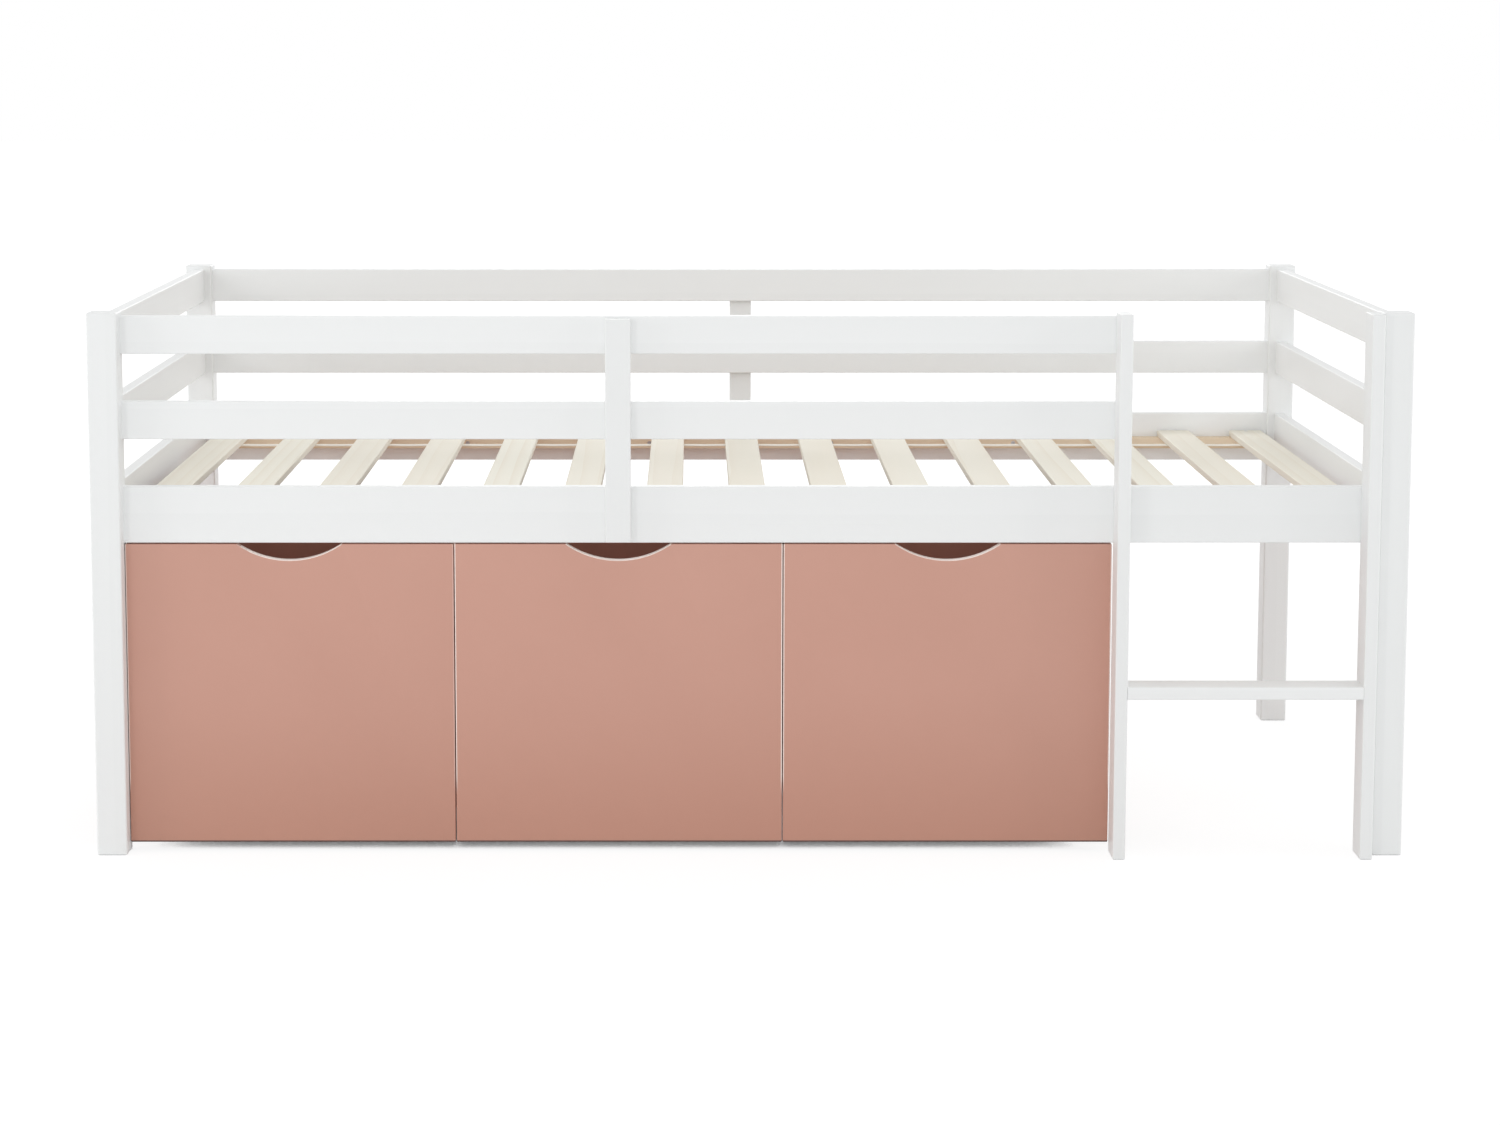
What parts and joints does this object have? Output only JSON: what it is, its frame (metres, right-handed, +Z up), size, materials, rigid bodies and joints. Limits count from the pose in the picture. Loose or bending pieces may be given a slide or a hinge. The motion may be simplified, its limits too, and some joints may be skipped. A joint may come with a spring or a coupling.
{
  "type": "mid sleeper bed",
  "caption": "Mid sleeper bed with guard rails, a slatted base, a short ladder at one end of its long side and roll-out storage boxes on castors below.",
  "frame": {"origin": "on the floor, at the middle of the space that the bed and its ladder stand on", "axes": "+X along the bed towards its ladder end, +Z up; the ladder and the boxes' fronts face -Y"},
  "size_m": [2.08, 1.034, 0.868],
  "materials": {
    "white_paint": "satin white paint on pine",
    "slat_pine": "bare planed pine",
    "batten_pine": "bare planed pine",
    "pink_paint": "matt dusty pink paint on board",
    "dowel_beech": "bare beech",
    "webbing": "woven cotton tape",
    "zinc": "bright zinc plating",
    "wheel_rubber": "dull moulded plastic"
  },
  "bodies": {
    "bed_frame": {"post_front_left": "white_paint", "post_front_right": "white_paint", "post_rear_left": "white_paint", "post_rear_right": "white_paint", "side_rail_front": "white_paint", "side_rail_rear": "white_paint", "guard_rail_front_mid": "white_paint", "guard_rail_front_top": "white_paint", "guard_rail_rear_mid": "white_paint", "guard_rail_rear_top": "white_paint", "end_rail_left_low": "white_paint", "end_rail_left_mid": "white_paint", "end_rail_left_top": "white_paint", "end_rail_right_low": "white_paint", "end_rail_right_mid": "white_paint", "end_rail_right_top": "white_paint", "guard_strut_front": "white_paint", "guard_strut_rear": "white_paint", "ladder_stile_left": "white_paint", "ladder_stile_right": "white_paint", "ladder_rung": "white_paint", "slat_batten_front": "batten_pine", "slat_batten_rear": "batten_pine", "slats_left": "slat_pine", "slats_middle": "slat_pine", "slats_right": "slat_pine", "slat_tapes": "webbing", "tape_staples": "zinc", "frame_bolts": "zinc", "barrel_nuts": "zinc", "frame_dowels": "dowel_beech", "frame_screws": "zinc"},
    "box_1": {"box_1_front": "pink_paint", "box_1_side_left": "pink_paint", "box_1_side_right": "pink_paint", "box_1_back": "pink_paint", "box_1_bottom": "pink_paint", "box_1_castor_brackets": "zinc", "box_1_fasteners": "zinc"},
    "box_1_wheels_front_axle": {"box_1_wheels_front": "wheel_rubber"},
    "box_1_wheels_rear_axle": {"box_1_wheels_rear": "wheel_rubber"},
    "box_2": {"box_2_front": "pink_paint", "box_2_side_left": "pink_paint", "box_2_side_right": "pink_paint", "box_2_back": "pink_paint", "box_2_bottom": "pink_paint", "box_2_castor_brackets": "zinc", "box_2_fasteners": "zinc"},
    "box_2_wheels_front_axle": {"box_2_wheels_front": "wheel_rubber"},
    "box_2_wheels_rear_axle": {"box_2_wheels_rear": "wheel_rubber"},
    "box_3": {"box_3_front": "pink_paint", "box_3_side_left": "pink_paint", "box_3_side_right": "pink_paint", "box_3_back": "pink_paint", "box_3_bottom": "pink_paint", "box_3_castor_brackets": "zinc", "box_3_fasteners": "zinc"},
    "box_3_wheels_front_axle": {"box_3_wheels_front": "wheel_rubber"},
    "box_3_wheels_rear_axle": {"box_3_wheels_rear": "wheel_rubber"}
  },
  "joints": [
    {"name": "box_1_roll_out", "type": "slide", "parent": "bed_frame", "child": "box_1", "axis": [0, -1, 0], "range_m": [0, 0.75]},
    {"name": "box_1_wheels_front_turn", "type": "hinge", "parent": "box_1", "child": "box_1_wheels_front_axle", "pos_m": [-0.7305, -0.372, 0.02], "axis": [1, 0, 0], "range_deg": [0, 2160]},
    {"name": "box_1_wheels_rear_turn", "type": "hinge", "parent": "box_1", "child": "box_1_wheels_rear_axle", "pos_m": [-0.7305, 0.047, 0.02], "axis": [1, 0, 0], "range_deg": [0, 2160]},
    {"name": "box_2_roll_out", "type": "slide", "parent": "bed_frame", "child": "box_2", "axis": [0, -1, 0], "range_m": [0, 0.75]},
    {"name": "box_2_wheels_front_turn", "type": "hinge", "parent": "box_2", "child": "box_2_wheels_front_axle", "pos_m": [-0.208, -0.372, 0.02], "axis": [1, 0, 0], "range_deg": [0, 2160]},
    {"name": "box_2_wheels_rear_turn", "type": "hinge", "parent": "box_2", "child": "box_2_wheels_rear_axle", "pos_m": [-0.208, 0.047, 0.02], "axis": [1, 0, 0], "range_deg": [0, 2160]},
    {"name": "box_3_roll_out", "type": "slide", "parent": "bed_frame", "child": "box_3", "axis": [0, -1, 0], "range_m": [0, 0.75]},
    {"name": "box_3_wheels_front_turn", "type": "hinge", "parent": "box_3", "child": "box_3_wheels_front_axle", "pos_m": [0.3145, -0.372, 0.02], "axis": [1, 0, 0], "range_deg": [0, 2160]},
    {"name": "box_3_wheels_rear_turn", "type": "hinge", "parent": "box_3", "child": "box_3_wheels_rear_axle", "pos_m": [0.3145, 0.047, 0.02], "axis": [1, 0, 0], "range_deg": [0, 2160]}
  ],
  "couplings": [
    {"joint": "box_1_wheels_front_turn", "follows": "box_1_roll_out", "rad_per_m": 50},
    {"joint": "box_1_wheels_rear_turn", "follows": "box_1_roll_out", "rad_per_m": 50},
    {"joint": "box_2_wheels_front_turn", "follows": "box_2_roll_out", "rad_per_m": 50},
    {"joint": "box_2_wheels_rear_turn", "follows": "box_2_roll_out", "rad_per_m": 50},
    {"joint": "box_3_wheels_front_turn", "follows": "box_3_roll_out", "rad_per_m": 50},
    {"joint": "box_3_wheels_rear_turn", "follows": "box_3_roll_out", "rad_per_m": 50}
  ]
}
